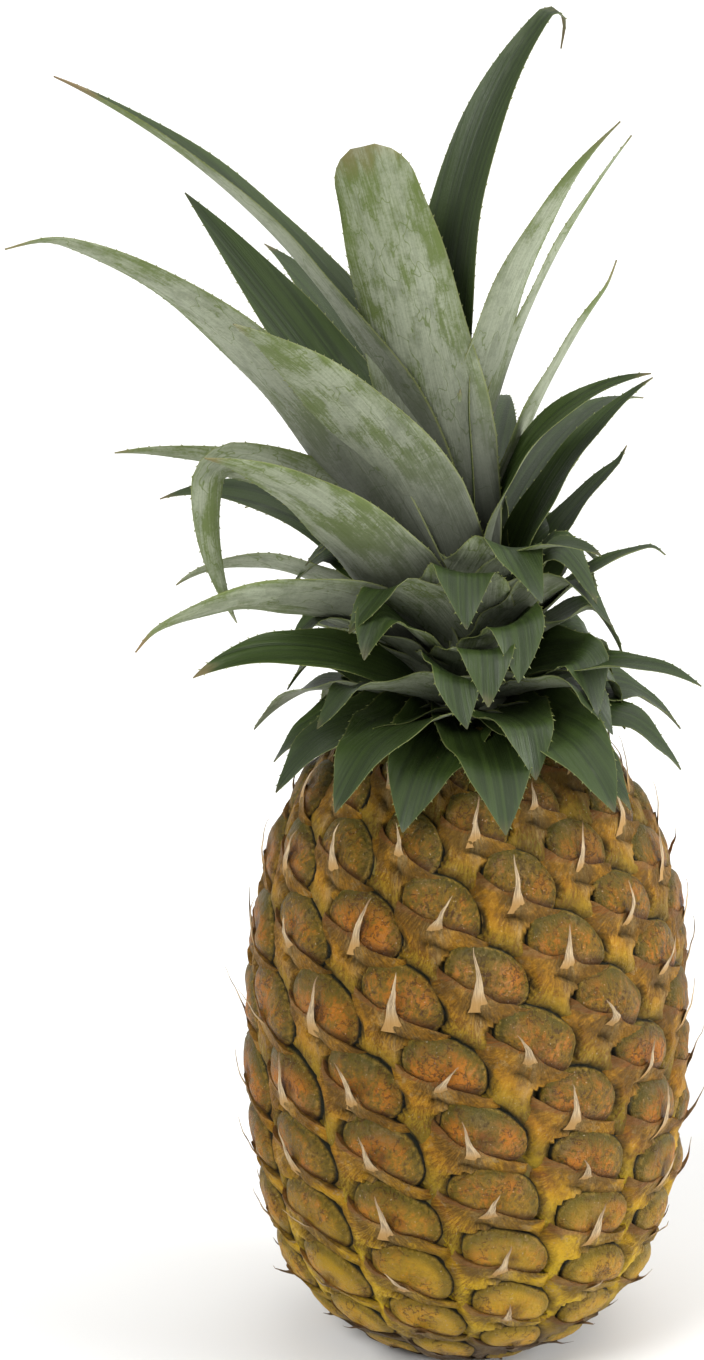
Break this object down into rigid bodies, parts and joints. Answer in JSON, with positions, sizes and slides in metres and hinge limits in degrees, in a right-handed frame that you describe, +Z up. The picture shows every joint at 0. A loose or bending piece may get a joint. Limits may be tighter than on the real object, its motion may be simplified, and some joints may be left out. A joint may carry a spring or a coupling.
{
  "type": "pineapple",
  "caption": "Whole fresh pineapple standing upright on its base, with spiky spiral eyes and a spreading crown of long curved leaves, for food displays and still lifes.",
  "frame": {"origin": "centre of the flat spot at the base on which the fruit rests", "axes": "+Z up along the fruit towards the crown, -Y towards the viewer of the picture"},
  "size_m": [0.1823, 0.18, 0.3739],
  "materials": {
    "rind": "rough, waxy fruit rind",
    "cut_stalk": "dry fibrous cut end",
    "crown_green": "satin, waxy leaf",
    "leaf_bloom": "matt grey bloom over a waxy green leaf"
  },
  "bodies": {
    "root": {"crown_stem": "crown_green", "fruit": "rind", "leaf_back_left": "leaf_bloom", "leaf_back_small": "leaf_bloom", "leaf_front_blunt": "leaf_bloom", "leaf_front_broad": "leaf_bloom", "leaf_left_broad": "leaf_bloom", "leaf_left_fifth": "leaf_bloom", "leaf_left_folded": "leaf_bloom", "leaf_left_fourth": "leaf_bloom", "leaf_left_high": "leaf_bloom", "leaf_left_level": "leaf_bloom", "leaf_left_long": "leaf_bloom", "leaf_left_low": "leaf_bloom", "leaf_left_lowest": "leaf_bloom", "leaf_rear_high": "leaf_bloom", "leaf_rear_left": "leaf_bloom", "leaf_rear_low": "leaf_bloom", "leaf_rear_lowest": "leaf_bloom", "leaf_rear_right": "leaf_bloom", "leaf_right_arched": "leaf_bloom", "leaf_right_curled": "leaf_bloom", "leaf_right_fifth": "leaf_bloom", "leaf_right_high": "leaf_bloom", "leaf_right_low": "leaf_bloom", "leaf_right_lowest": "leaf_bloom", "leaf_right_second": "leaf_bloom", "leaf_right_sixth": "leaf_bloom", "leaf_right_tall": "leaf_bloom", "leaf_right_third": "leaf_bloom", "stalk_end": "cut_stalk"}
  },
  "joints": []
}
